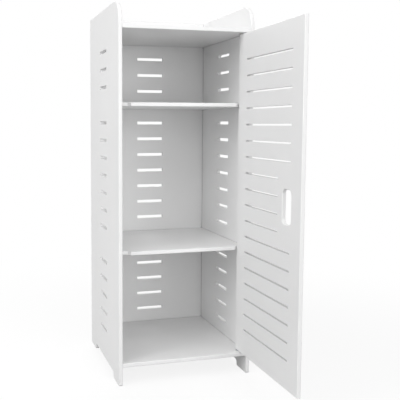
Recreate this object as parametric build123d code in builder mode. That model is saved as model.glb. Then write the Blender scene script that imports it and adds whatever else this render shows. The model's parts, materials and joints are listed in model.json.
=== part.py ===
from build123d import *
import os

# A narrow free-standing bathroom cabinet of thin lacquered board, with its slotted door open.
# Lengths are in millimetres. +Z is up, +Y points to the cabinet's back and +X to its hinge side.
# The origin is on the floor, midway across the cabinet and midway along its depth with the door
# open square to the front.

# Carcass
cabinet_width = 296.0
cabinet_depth = 296.0
cabinet_height = 800.0
side_thickness = 8.0
back_thickness = 8.0
board_thickness = 8.0
edge_chamfer = 0.8
top_corner_radius = 42.0
rim_height = 50.0
back_inset = 8.0
floor_clearance = 40.0

# Feet and arch in the lower edge of each side panel
front_foot_length = 51.0
rear_foot_length = 55.0
arch_height = 13.0
arch_radius = 8.0
foot_corner_radius = 4.0

# Shelves, by the height of their undersides
upper_shelf_height = 586.0
middle_shelf_height = 274.0
shelf_setback = 17.0
notch_width = 18.0
notch_flare = 4.5
notch_depth = 9.5

# Ventilation slots of the side and back panels
vent_length = 66.0
vent_height = 7.0
vent_pitch = 39.2
vent_end_margin = 30.0

# Door leaf
door_thickness = 8.0
door_side_gap = 2.0
door_end_gap = 2.0
door_stop_gap = 0.3

# Slots of the door
door_slot_height = 3.8
door_slot_pitch = 34.0
door_slot_side_margin = 40.0
door_slot_end_margin = 50.0

# Finger opening of the door
grip_width = 33.5
grip_height = 66.0
grip_corner_radius = 10.0
grip_chamfer = 1.2
grip_side_margin = 36.5
grip_slot_distance = 19.0

# Pivots of the door
pivot_inset = 10.0
pin_radius = 2.0
pin_chamfer = 0.4
pin_end_gap = 0.5
door_bush_radius = 3.0
door_bush_length = 14.0
frame_bush_radius = 3.5
frame_bush_length = 6.0
flange_radius = 8.0
flange_thickness = 1.0
washer_radius = 7.0
running_fit = 0.05

# Splines, the flat keys that join each board to the side panels
spline_width = 30.0
spline_thickness = 3.0
spline_side_depth = 4.0
spline_board_depth = 12.0
spline_chamfer = 0.6
spline_margin = 40.0
back_spline_margin = 60.0
glue_gap = 0.1
spline_end_gap = 0.3

# How far a cut runs past the surface that it opens
overrun = 2.0

# Room inside the carcass
inner_width = cabinet_width - 2 * side_thickness
inner_x = inner_width / 2
bottom_board_top = floor_clearance + board_thickness
top_board_top = cabinet_height - rim_height
top_board_underside = top_board_top - board_thickness

# Door leaf and its pivot axis
door_width = inner_width - 2 * door_side_gap
door_bottom = bottom_board_top + door_end_gap
door_top = top_board_underside - door_end_gap
door_middle = (door_bottom + door_top) / 2
door_reach = door_width - pivot_inset
pivot_x = inner_x - door_side_gap - pivot_inset
pivot_setback = shelf_setback - door_stop_gap - door_thickness / 2

# Places along the depth, with the door open
rear_y = (cabinet_depth - pivot_setback + door_reach) / 2
front_y = rear_y - cabinet_depth
carcass_middle_y = front_y + cabinet_depth / 2
back_face_y = rear_y - back_inset - back_thickness
shelf_front_y = front_y + shelf_setback
pivot_y = front_y + pivot_setback
hinge_end_y = pivot_y + pivot_inset
free_end_y = pivot_y - door_reach


def row_heights(low, high, pitch, margin):
    """Heights of rows at one pitch, centred between two edges and clear of each by the margin."""
    spaces = int((high - low - 2 * margin) / pitch)
    middle = (low + high) / 2
    return [middle + (row - spaces / 2) * pitch for row in range(spaces + 1)]


def clear_of_shelves(height):
    """Whether a ventilation slot at this height misses both shelves."""
    reach = (board_thickness + vent_height) / 2
    shelves = [upper_shelf_height, middle_shelf_height]
    return all(abs(height - shelf - board_thickness / 2) > reach for shelf in shelves)


vent_rows = row_heights(bottom_board_top, top_board_underside, vent_pitch, vent_end_margin)
vent_heights = [height for height in vent_rows if clear_of_shelves(height)]
door_slot_heights = row_heights(door_bottom, door_top, door_slot_pitch, door_slot_end_margin)


def board_spline_places(underside, front):
    """Depth and height of the splines in one end of a level board."""
    middle = underside + board_thickness / 2
    return [(front + spline_margin, middle), (back_face_y - spline_margin, middle)]


top_places = board_spline_places(top_board_underside, front_y)
bottom_places = board_spline_places(floor_clearance, front_y)
upper_shelf_places = board_spline_places(upper_shelf_height, shelf_front_y)
middle_shelf_places = board_spline_places(middle_shelf_height, shelf_front_y)
back_spline_low = floor_clearance + back_spline_margin
back_spline_high = top_board_underside - back_spline_margin
back_spline_heights = [back_spline_low, (back_spline_low + back_spline_high) / 2, back_spline_high]
back_places = [(back_face_y + back_thickness / 2, height) for height in back_spline_heights]

# Size along the depth and height of a spline that lies in a level board or stands in the back panel
level_spline = (spline_width, spline_thickness)
upright_spline = (spline_thickness, spline_width)


def ease_faces(part, axis):
    """Chamfers the outer edges of the flat faces that look along one axis in the board being built."""
    rims = [face.outer_wire() for face in part.faces().filter_by(axis)]
    chamfer([edge for rim in rims for edge in rim.edges()], edge_chamfer)


def drill(plane, places, radius, depth):
    """Blind holes in the part being built, with a depth that is signed along the plane's normal."""
    with BuildSketch(plane) as holes:
        with Locations(*places):
            Circle(radius)
    extrude(holes.sketch, amount=depth, mode=Mode.SUBTRACT)


def groove(plane, places, spline, depth):
    """Short grooves for splines in the part being built, with a depth signed along the normal."""
    with BuildSketch(plane) as mouths:
        with Locations(*places):
            Rectangle(spline[0] + 2 * glue_gap, spline[1] + 2 * glue_gap)
    extrude(mouths.sketch, amount=depth, mode=Mode.SUBTRACT)


def groove_board_ends(places, spline):
    """Grooves in both ends of the board being built."""
    depth = spline_board_depth + spline_end_gap
    groove(Plane.YZ.offset(-inner_x), places, spline, depth)
    groove(Plane.YZ.offset(inner_x), places, spline, -depth)


def cut_vents(plane, middle, thickness):
    """The column of ventilation slots through the panel being built, on its middle plane."""
    with BuildSketch(plane) as slots:
        with Locations(*[(middle, height) for height in vent_heights]):
            Rectangle(vent_length, vent_height)
    extrude(slots.sketch, amount=thickness / 2 + overrun, both=True, mode=Mode.SUBTRACT)


def side_panel(side):
    """A side panel, the left one for a side of -1 and the right one for 1."""
    arch_length = cabinet_depth - front_foot_length - rear_foot_length
    inner_face = Plane.YZ.offset(side * inner_x)
    with BuildPart() as panel:
        with BuildSketch(inner_face) as outline:
            with Locations((carcass_middle_y, cabinet_height / 2)):
                Rectangle(cabinet_depth, cabinet_height)
            with Locations((front_y + front_foot_length + arch_length / 2, 0)):
                Rectangle(arch_length, 2 * arch_height, mode=Mode.SUBTRACT)
            fillet(outline.vertices().group_by(Axis.Y)[1], arch_radius)
            fillet(outline.vertices().group_by(Axis.Y)[0], foot_corner_radius)
            fillet(outline.vertices().group_by(Axis.Y)[-1].sort_by(Axis.X)[0], top_corner_radius)
        extrude(amount=side * side_thickness)
        ease_faces(panel, Axis.X)
        cut_vents(Plane.YZ.offset(side * (inner_x + side_thickness / 2)), carcass_middle_y, side_thickness)
        depth = side * (spline_side_depth + spline_end_gap)
        groove(inner_face, top_places + bottom_places, level_spline, depth)
        groove(inner_face, upper_shelf_places + middle_shelf_places, level_spline, depth)
        groove(inner_face, back_places, upright_spline, depth)
    return panel


def cut_notch(side, front):
    """A notch in one front corner of the outline being drawn, wider by the flare at its mouth."""
    end_x = side * inner_x
    root_x = end_x - side * notch_width
    mouth_x = root_x - side * notch_flare
    root_y = front + notch_depth
    Polygon((end_x, front), (end_x, root_y), (root_x, root_y), (mouth_x, front), align=None, mode=Mode.SUBTRACT)


def level_board(underside, front, spline_places, notched=False):
    """A level board between the side panels; notches in its front corners clear the door's hinge end."""
    with BuildPart() as board:
        with BuildSketch(Plane.XY.offset(underside)):
            with Locations((0, (front + back_face_y) / 2)):
                Rectangle(inner_width, back_face_y - front)
            if notched:
                cut_notch(-1, front)
                cut_notch(1, front)
        extrude(amount=board_thickness)
        ease_faces(board, Axis.Z)
        groove_board_ends(spline_places, level_spline)
    return board


left_side_panel = side_panel(-1)
right_side_panel = side_panel(1)

with BuildPart() as back_panel:
    with BuildSketch(Plane.XZ.offset(-back_face_y)):
        with Locations((0, (floor_clearance + cabinet_height) / 2)):
            Rectangle(inner_width, cabinet_height - floor_clearance)
    extrude(amount=-back_thickness)
    ease_faces(back_panel, Axis.Y)
    cut_vents(Plane.XZ.offset(-back_face_y - back_thickness / 2), 0, back_thickness)
    groove_board_ends(back_places, upright_spline)

# Each door pivot stands on this place; its frame bush sits blind in the board beyond the door's end
pivot_place = [(pivot_x, pivot_y)]
frame_seat_radius = frame_bush_radius + running_fit
door_seat_radius = door_bush_radius + running_fit
bore_radius = pin_radius + running_fit

with level_board(top_board_underside, front_y, top_places) as top_board:
    drill(Plane.XY.offset(top_board_underside), pivot_place, frame_seat_radius, frame_bush_length)

with level_board(floor_clearance, front_y, bottom_places) as bottom_board:
    drill(Plane.XY.offset(bottom_board_top), pivot_place, frame_seat_radius, -frame_bush_length)

upper_shelf = level_board(upper_shelf_height, shelf_front_y, upper_shelf_places, notched=True)
middle_shelf = level_board(middle_shelf_height, shelf_front_y, middle_shelf_places, notched=True)


def door_slot_length(height):
    """Length of the door's slot at one height; those beside the finger opening stop short of it."""
    beside_grip = abs(height - door_middle) < grip_height / 2 + grip_slot_distance
    grip_margin = grip_side_margin + grip_width + grip_slot_distance
    free_margin = grip_margin if beside_grip else door_slot_side_margin
    return door_width - door_slot_side_margin - free_margin


door_plane = Plane.YZ.offset(pivot_x)
door_cut = door_thickness / 2 + overrun
door_seat_depth = door_bush_length + pin_end_gap

with BuildPart() as door:
    with BuildSketch(door_plane):
        with Locations((hinge_end_y - door_width / 2, door_middle)):
            Rectangle(door_width, door_top - door_bottom)
    extrude(amount=door_thickness / 2, both=True)
    ease_faces(door, Axis.X)
    with BuildSketch(door_plane):
        with Locations((free_end_y + grip_side_margin + grip_width / 2, door_middle)):
            RectangleRounded(grip_width, grip_height, grip_corner_radius)
    extrude(amount=door_cut, both=True, mode=Mode.SUBTRACT)
    grip_rims = [wire for face in door.faces().filter_by(Axis.X) for wire in face.inner_wires()]
    chamfer([edge for rim in grip_rims for edge in rim.edges()], grip_chamfer)
    with BuildSketch(door_plane):
        for height in door_slot_heights:
            length = door_slot_length(height)
            with Locations((hinge_end_y - door_slot_side_margin - length / 2, height)):
                Rectangle(length, door_slot_height)
    extrude(amount=door_cut, both=True, mode=Mode.SUBTRACT)
    drill(Plane.XY.offset(door_top), pivot_place, door_seat_radius, -door_seat_depth)
    drill(Plane.XY.offset(door_bottom), pivot_place, door_seat_radius, door_seat_depth)


def sleeve(low, high, outer_radius):
    """A plain ring on the pivot axis, bored for the pin."""
    with BuildPart() as ring:
        with BuildSketch(Plane.XY.offset(low)):
            with Locations(*pivot_place):
                Circle(outer_radius)
                Circle(bore_radius, mode=Mode.SUBTRACT)
        extrude(amount=high - low)
    return ring


def frame_bush(face_height, inwards):
    """A flanged bush in a board's face, with its barrel going up into it for 1 and down for -1."""
    with BuildPart() as bush:
        with BuildSketch(Plane.XY.offset(face_height)) as barrel:
            with Locations(*pivot_place):
                Circle(frame_bush_radius)
        extrude(barrel.sketch, amount=inwards * frame_bush_length)
        with BuildSketch(Plane.XY.offset(face_height)) as flange:
            with Locations(*pivot_place):
                Circle(flange_radius)
        extrude(flange.sketch, amount=-inwards * flange_thickness)
        bore_length = inwards * (flange_thickness + frame_bush_length)
        drill(Plane.XY.offset(face_height - inwards * flange_thickness), pivot_place, bore_radius, bore_length)
    return bush


def pivot_pin(door_end, outwards):
    """A steel pin through the door's end face, its free end going up for 1 and down for -1."""
    free_length = door_end_gap + frame_bush_length - pin_end_gap
    with BuildPart() as pin:
        with BuildSketch(Plane.XY.offset(door_end - outwards * door_bush_length)):
            with Locations(*pivot_place):
                Circle(pin_radius)
        extrude(amount=outwards * (door_bush_length + free_length))
        chamfer(pin.edges().filter_by(GeomType.CIRCLE), pin_chamfer)
    return pin


def splines(places, spline):
    """The splines that hold one board between the two side panels."""
    with BuildPart() as keys:
        for side in (-1, 1):
            with BuildSketch(Plane.YZ.offset(side * (inner_x + spline_side_depth))) as ends:
                with Locations(*places):
                    Rectangle(*spline)
            extrude(ends.sketch, amount=-side * (spline_side_depth + spline_board_depth))
        end_faces = keys.faces().filter_by(Axis.X)
        chamfer(end_faces.edges(), spline_chamfer)
    return keys


pieces = {
    "left_side_panel": left_side_panel,
    "right_side_panel": right_side_panel,
    "back_panel": back_panel,
    "top_board": top_board,
    "bottom_board": bottom_board,
    "upper_shelf": upper_shelf,
    "middle_shelf": middle_shelf,
    "door": door,
    "upper_door_bush": sleeve(door_top - door_bush_length, door_top, door_bush_radius),
    "lower_door_bush": sleeve(door_bottom, door_bottom + door_bush_length, door_bush_radius),
    "upper_frame_bush": frame_bush(top_board_underside, 1),
    "lower_frame_bush": frame_bush(bottom_board_top, -1),
    "upper_pivot_pin": pivot_pin(door_top, 1),
    "lower_pivot_pin": pivot_pin(door_bottom, -1),
    "pivot_washer": sleeve(bottom_board_top + flange_thickness, door_bottom, washer_radius),
    "top_board_splines": splines(top_places, level_spline),
    "bottom_board_splines": splines(bottom_places, level_spline),
    "upper_shelf_splines": splines(upper_shelf_places, level_spline),
    "middle_shelf_splines": splines(middle_shelf_places, level_spline),
    "back_panel_splines": splines(back_places, upright_spline),
}

os.makedirs("parts", exist_ok=True)
for name, piece in pieces.items():
    piece.part.label = name
    export_step(piece.part, f"parts/{name}.step")
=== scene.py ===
import json
import math

import bpy
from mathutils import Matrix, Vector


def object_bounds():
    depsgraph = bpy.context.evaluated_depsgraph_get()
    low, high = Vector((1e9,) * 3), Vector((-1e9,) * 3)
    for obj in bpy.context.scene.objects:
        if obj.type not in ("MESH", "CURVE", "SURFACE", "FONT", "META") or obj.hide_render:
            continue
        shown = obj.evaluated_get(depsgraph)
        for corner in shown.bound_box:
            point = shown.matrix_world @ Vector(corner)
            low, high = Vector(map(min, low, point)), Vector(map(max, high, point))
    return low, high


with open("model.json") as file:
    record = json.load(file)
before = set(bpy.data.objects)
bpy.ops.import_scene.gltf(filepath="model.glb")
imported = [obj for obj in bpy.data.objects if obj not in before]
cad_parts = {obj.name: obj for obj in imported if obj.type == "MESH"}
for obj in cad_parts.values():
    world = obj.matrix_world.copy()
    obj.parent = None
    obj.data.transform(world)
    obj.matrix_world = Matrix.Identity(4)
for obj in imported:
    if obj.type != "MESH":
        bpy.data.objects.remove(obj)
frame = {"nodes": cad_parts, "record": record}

cad_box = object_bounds()

# Lengths are in metres, angles in degrees and lamp powers in watts
mm = 0.001

# Camera, at the photograph's viewpoint and with the shift of its cropped frame
camera_place = (-455 * mm, -1304 * mm, 549 * mm)
camera_tilt = 85.05
camera_turn = -14.84
camera_sensor = 36.0
camera_lens = 58.36
camera_shift = (0.1643, -0.0492)

# Studio: square softboxes that face the middle of the cabinet, each with its place and power
softbox_size = 1600 * mm
softboxes = {
    "left_softbox": ((-2.6, -0.8, 2.4), 43),
    "front_left_softbox": ((-2.2, -2.2, 1.6), 20),
    "front_softbox": ((0.6, -3.3, 0.8), 27),
    "top_softbox": ((0.0, -2.0, 2.6), 18),
    "back_softbox": ((0.7, 3.2, 2.0), 32),
}
ambient_strength = 0.4
white = "#FFFFFF"

# Paper floor: the shadow shows most up to the first radius and has run out at the second
floor_radius = 6.0
floor_corners = 96
shadow_radius = 0.35
white_floor_radius = 1.3
shadow_share = 0.16
floor_bounce = "#B4B4B4"

# Lacquered board, with its orange peel at the real size of a few millimetres
paint_white = "#F2F2F2"
paint_shade = "#EDEDED"
paint_ior = 1.5
paint_roughness = (0.36, 0.46)
paint_cloud_size = 120 * mm
paint_cloud_detail = 2.0
orange_peel_size = 4 * mm
orange_peel_detail = 1.0
orange_peel_height = 0.02 * mm
eased_edge_radius = 1.0 * mm

# Painted shade in the slots and joints, which there also turn matt: openness is the share of the air
# within reach that is free, and the painted shade and the matt finish fade out between these two
painted_shade_grey = "#D4D4D5"
recess_roughness = 0.7
shade_and_matt_reach = 6 * mm
shaded_matt_openness = 0.25
clear_glossy_openness = 0.72
ray_samples = 8

# Pivot fittings. The mould's grain is really about 0.1 mm and the lathe's feed about 0.1 mm a turn:
# both are drawn coarser here, so that they show.
nylon_colour = "#E9E9E4"
nylon_ior = 1.53
nylon_roughness = 0.55
nylon_glow_share = 0.1
nylon_glow_depth = 1 * mm
nylon_grain_size = 0.6 * mm
nylon_grain_detail = 3.0
nylon_grain_height = 0.015 * mm
zinc_colour = "#C3C7CA"
zinc_roughness = (0.22, 0.42)
zinc_cloud_size = 3 * mm
zinc_cloud_detail = 4.0
turning_feed = 0.25 * mm
turning_depth = 0.004 * mm

# Hidden splines. Beech pores are really about 0.07 mm wide and 1 to 3 mm long, and are drawn
# coarser here, so that they show.
beech_colour = "#CDA57A"
beech_glue_line = "#9C7550"
beech_ior = 1.5
beech_roughness = 0.7
veneer_thickness = 1.0 * mm
glue_line_share = 0.12
pore_length = 6 * mm
pore_width = 0.3 * mm
pore_detail = 2.0
pore_threshold = (0.62, 0.7)
pore_darkness = 0.5

# Sockets of the mix node by number, as several of them have one name
mix_share, mix_number_a, mix_number_b, mix_colour_a, mix_colour_b = 0, 2, 3, 6, 7
mixed_number, mixed_colour = 0, 2

# Radians of phase that the wave texture runs through in a metre at scale 1
wave_phase_rate = 20


def linear(code):
    """An sRGB hex colour as the linear colour that a shader takes."""
    channels = [int(code[i:i + 2], 16) / 255 for i in (1, 3, 5)]
    return tuple(c / 12.92 if c <= 0.04045 else ((c + 0.055) / 1.055) ** 2.4 for c in channels) + (1.0,)


def band_scale(width):
    """The wave texture's scale for bands of a real width."""
    return math.tau / wave_phase_rate / width


def add(tree, kind, inputs=None, **settings):
    """A new node with its settings; each input takes a value or the output that feeds it."""
    made = tree.nodes.new(kind)
    for name, value in settings.items():
        setattr(made, name, value)
    for name, value in (inputs or {}).items():
        if isinstance(value, bpy.types.NodeSocket):
            tree.links.new(value, made.inputs[name])
        else:
            made.inputs[name].default_value = value
    return made


def new_tree(owner):
    """The owner's node tree, emptied."""
    owner.use_nodes = True
    owner.node_tree.nodes.clear()
    return owner.node_tree


def object_place(tree, scale=(1, 1, 1)):
    """Places on the object in metres, stretched by the scale on each axis."""
    place = add(tree, "ShaderNodeTexCoord").outputs["Object"]
    return add(tree, "ShaderNodeMapping", {"Vector": place, "Scale": scale}).outputs["Vector"]


def seen_directly(tree):
    """1 for rays that show a thing as it is, from the camera, in a reflection or through glass."""
    path = add(tree, "ShaderNodeLightPath").outputs
    seen = add(tree, "ShaderNodeMath", {
        0: path["Is Camera Ray"], 1: path["Is Glossy Ray"]}, operation="MAXIMUM")
    seen = add(tree, "ShaderNodeMath", {
        0: seen.outputs["Value"], 1: path["Is Transmission Ray"]}, operation="MAXIMUM")
    return seen.outputs["Value"]


def finish_with(tree, inputs):
    """The principled shader with these inputs, as the material's surface."""
    shader = add(tree, "ShaderNodeBsdfPrincipled", inputs)
    add(tree, "ShaderNodeOutputMaterial", {"Surface": shader.outputs["BSDF"]})


def lacquered_board(material):
    """Satin polyurethane lacquer sprayed on fibreboard: an even white with the faint orange peel
    that breaks up its soft reflections, and eased edges that catch a thin line of light. In the
    slots and joints it turns matt, and its colour is darkened to grey as painted shade, by how shut in
    each place is."""
    tree = new_tree(material)
    place = object_place(tree)
    cloud = add(tree, "ShaderNodeTexNoise", {
        "Vector": place, "Scale": 1 / paint_cloud_size, "Detail": paint_cloud_detail})
    tint = add(tree, "ShaderNodeMix", {
        mix_share: cloud.outputs["Fac"], mix_colour_a: linear(paint_white),
        mix_colour_b: linear(paint_shade)}, data_type="RGBA")
    gloss = add(tree, "ShaderNodeMapRange", {
        "Value": cloud.outputs["Fac"], "To Min": paint_roughness[0], "To Max": paint_roughness[1]})
    open_air = add(tree, "ShaderNodeAmbientOcclusion", {"Distance": shade_and_matt_reach}, samples=ray_samples)
    unshaded_glossy_share = add(tree, "ShaderNodeMapRange", {
        "Value": open_air.outputs["AO"], "From Min": shaded_matt_openness, "From Max": clear_glossy_openness})
    # Painted shade: the lacquer's colour turns grey where the slots and joints shut it in
    coat_with_painted_shade = add(tree, "ShaderNodeMix", {
        mix_share: unshaded_glossy_share.outputs["Result"], mix_colour_a: linear(painted_shade_grey),
        mix_colour_b: tint.outputs[mixed_colour]}, data_type="RGBA")
    matt = add(tree, "ShaderNodeMix", {
        mix_share: unshaded_glossy_share.outputs["Result"], mix_number_a: recess_roughness,
        mix_number_b: gloss.outputs["Result"]})
    peel = add(tree, "ShaderNodeTexNoise", {
        "Vector": place, "Scale": 1 / orange_peel_size, "Detail": orange_peel_detail})
    edge = add(tree, "ShaderNodeBevel", {"Radius": eased_edge_radius}, samples=ray_samples)
    bump = add(tree, "ShaderNodeBump", {
        "Height": peel.outputs["Fac"], "Distance": orange_peel_height, "Normal": edge.outputs["Normal"]})
    finish_with(tree, {
        "Base Color": coat_with_painted_shade.outputs[mixed_colour], "Roughness": matt.outputs[mixed_number],
        "IOR": paint_ior, "Normal": bump.outputs["Normal"]})


def moulded_nylon(material):
    """Nylon moulded in a spark-eroded tool: a warm off-white with a fine matt grain."""
    tree = new_tree(material)
    grain = add(tree, "ShaderNodeTexNoise", {
        "Vector": object_place(tree), "Scale": 1 / nylon_grain_size, "Detail": nylon_grain_detail})
    bump = add(tree, "ShaderNodeBump", {"Height": grain.outputs["Fac"], "Distance": nylon_grain_height})
    finish_with(tree, {
        "Base Color": linear(nylon_colour), "Roughness": nylon_roughness, "IOR": nylon_ior,
        "Subsurface Weight": nylon_glow_share, "Subsurface Scale": nylon_glow_depth,
        "Normal": bump.outputs["Normal"]})


def turned_zinc_steel(material):
    """Turned steel with bright zinc plating: cool grey metal, clouded by the plating bath and
    ringed by the lathe tool."""
    tree = new_tree(material)
    place = object_place(tree)
    cloud = add(tree, "ShaderNodeTexNoise", {
        "Vector": place, "Scale": 1 / zinc_cloud_size, "Detail": zinc_cloud_detail})
    gloss = add(tree, "ShaderNodeMapRange", {
        "Value": cloud.outputs["Fac"], "To Min": zinc_roughness[0], "To Max": zinc_roughness[1]})
    rings = add(tree, "ShaderNodeTexWave", {
        "Vector": place, "Scale": band_scale(turning_feed)}, wave_type="BANDS", bands_direction="Z")
    bump = add(tree, "ShaderNodeBump", {"Height": rings.outputs["Fac"], "Distance": turning_depth})
    finish_with(tree, {
        "Base Color": linear(zinc_colour), "Metallic": 1.0, "Roughness": gloss.outputs["Result"],
        "Normal": bump.outputs["Normal"]})


def beech_plywood(material):
    """Sawn beech plywood: pale reddish veneers with short dark pores, between darker glue lines."""
    tree = new_tree(material)
    layers = add(tree, "ShaderNodeTexWave", {
        "Vector": object_place(tree), "Scale": band_scale(veneer_thickness)},
        wave_type="BANDS", bands_direction="Z", wave_profile="SIN")
    line = add(tree, "ShaderNodeMapRange", {
        "Value": layers.outputs["Fac"], "From Max": glue_line_share, "To Min": 1.0, "To Max": 0.0})
    grain = object_place(tree, (1 / pore_width, 1 / pore_length, 1 / pore_width))
    pores = add(tree, "ShaderNodeTexNoise", {"Vector": grain, "Scale": 1.0, "Detail": pore_detail})
    pore_mask = add(tree, "ShaderNodeMapRange", {
        "Value": pores.outputs["Fac"], "From Min": pore_threshold[0], "From Max": pore_threshold[1],
        "To Max": pore_darkness})
    dark = add(tree, "ShaderNodeMath", {
        0: line.outputs["Result"], 1: pore_mask.outputs["Result"]}, operation="MAXIMUM")
    colour = add(tree, "ShaderNodeMix", {
        mix_share: dark.outputs["Value"], mix_colour_a: linear(beech_colour),
        mix_colour_b: linear(beech_glue_line)}, data_type="RGBA")
    finish_with(tree, {
        "Base Color": colour.outputs[mixed_colour], "Roughness": beech_roughness, "IOR": beech_ior})


def place_camera():
    """The camera at the photograph's viewpoint."""
    data = bpy.data.cameras.new("camera")
    data.sensor_width = camera_sensor
    data.lens = camera_lens
    data.shift_x, data.shift_y = camera_shift
    camera = bpy.data.objects.new("camera", data)
    camera.location = camera_place
    camera.rotation_euler = (math.radians(camera_tilt), 0, math.radians(camera_turn))
    bpy.context.scene.collection.objects.link(camera)
    bpy.context.scene.camera = camera


def hang_softbox(name, place, power, target):
    """A square softbox at its place, turned to face the target."""
    data = bpy.data.lights.new(name, "AREA")
    data.size = softbox_size
    data.energy = power
    softbox = bpy.data.objects.new(name, data)
    softbox.location = place
    softbox.rotation_euler = (target - softbox.location).to_track_quat("-Z", "Y").to_euler()
    bpy.context.scene.collection.objects.link(softbox)


def white_surroundings():
    """Even ambient light from a world that the camera and clean reflections see as white."""
    world = bpy.data.worlds.new("studio")
    tree = new_tree(world)
    strength = add(tree, "ShaderNodeMapRange", {
        "Value": seen_directly(tree), "To Min": ambient_strength, "To Max": 1.0})
    light = add(tree, "ShaderNodeBackground", {
        "Color": linear(white), "Strength": strength.outputs["Result"]})
    add(tree, "ShaderNodeOutputWorld", {"Surface": light.outputs["Background"]})
    bpy.context.scene.world = world


def paper_floor():
    """A round floor of white paper: it keeps a light shadow near the cabinet and runs out into
    the white of the world."""
    bpy.ops.mesh.primitive_circle_add(vertices=floor_corners, radius=floor_radius, fill_type="NGON")
    floor = bpy.context.object
    floor.name = "paper_floor"
    material = bpy.data.materials.new("white_paper")
    tree = new_tree(material)
    seen = seen_directly(tree)
    colour = add(tree, "ShaderNodeMix", {
        mix_share: seen, mix_colour_a: linear(floor_bounce), mix_colour_b: linear(white)},
        data_type="RGBA")
    paper = add(tree, "ShaderNodeBsdfDiffuse", {"Color": colour.outputs[mixed_colour]})
    glow = add(tree, "ShaderNodeEmission", {"Color": linear(white), "Strength": 1.0})
    distance = add(tree, "ShaderNodeVectorMath", {0: object_place(tree)}, operation="LENGTH")
    whiteness = add(tree, "ShaderNodeMapRange", {
        "Value": distance.outputs["Value"], "From Min": shadow_radius, "From Max": white_floor_radius,
        "To Min": 1 - shadow_share, "To Max": 1.0}, interpolation_type="SMOOTHSTEP")
    glow_share = add(tree, "ShaderNodeMath", {
        0: whiteness.outputs["Result"], 1: seen}, operation="MULTIPLY")
    surface = add(tree, "ShaderNodeMixShader", {
        0: glow_share.outputs["Value"], 1: paper.outputs["BSDF"], 2: glow.outputs["Emission"]})
    add(tree, "ShaderNodeOutputMaterial", {"Surface": surface.outputs["Shader"]})
    floor.data.materials.append(material)


def dress(node, material):
    """Gives a CAD node its material."""
    node.data.materials.clear()
    node.data.materials.append(material)


bpy.context.scene.view_settings.view_transform = "Standard"
place_camera()
white_surroundings()
paper_floor()
middle = (cad_box[0] + cad_box[1]) / 2
for name, (place, power) in softboxes.items():
    hang_softbox(name, place, power, middle)

# The finish of each of the record's material slots
finishes = {
    "white_lacquer": lacquered_board,
    "nylon": moulded_nylon,
    "steel": turned_zinc_steel,
    "beech": beech_plywood,
}
materials = {}
for slot, finish in finishes.items():
    materials[slot] = bpy.data.materials.new(finish.__name__)
    finish(materials[slot])
for part in frame["record"]["subparts"]:
    dress(frame["nodes"][part["node"]], materials[part["material_slot"]])
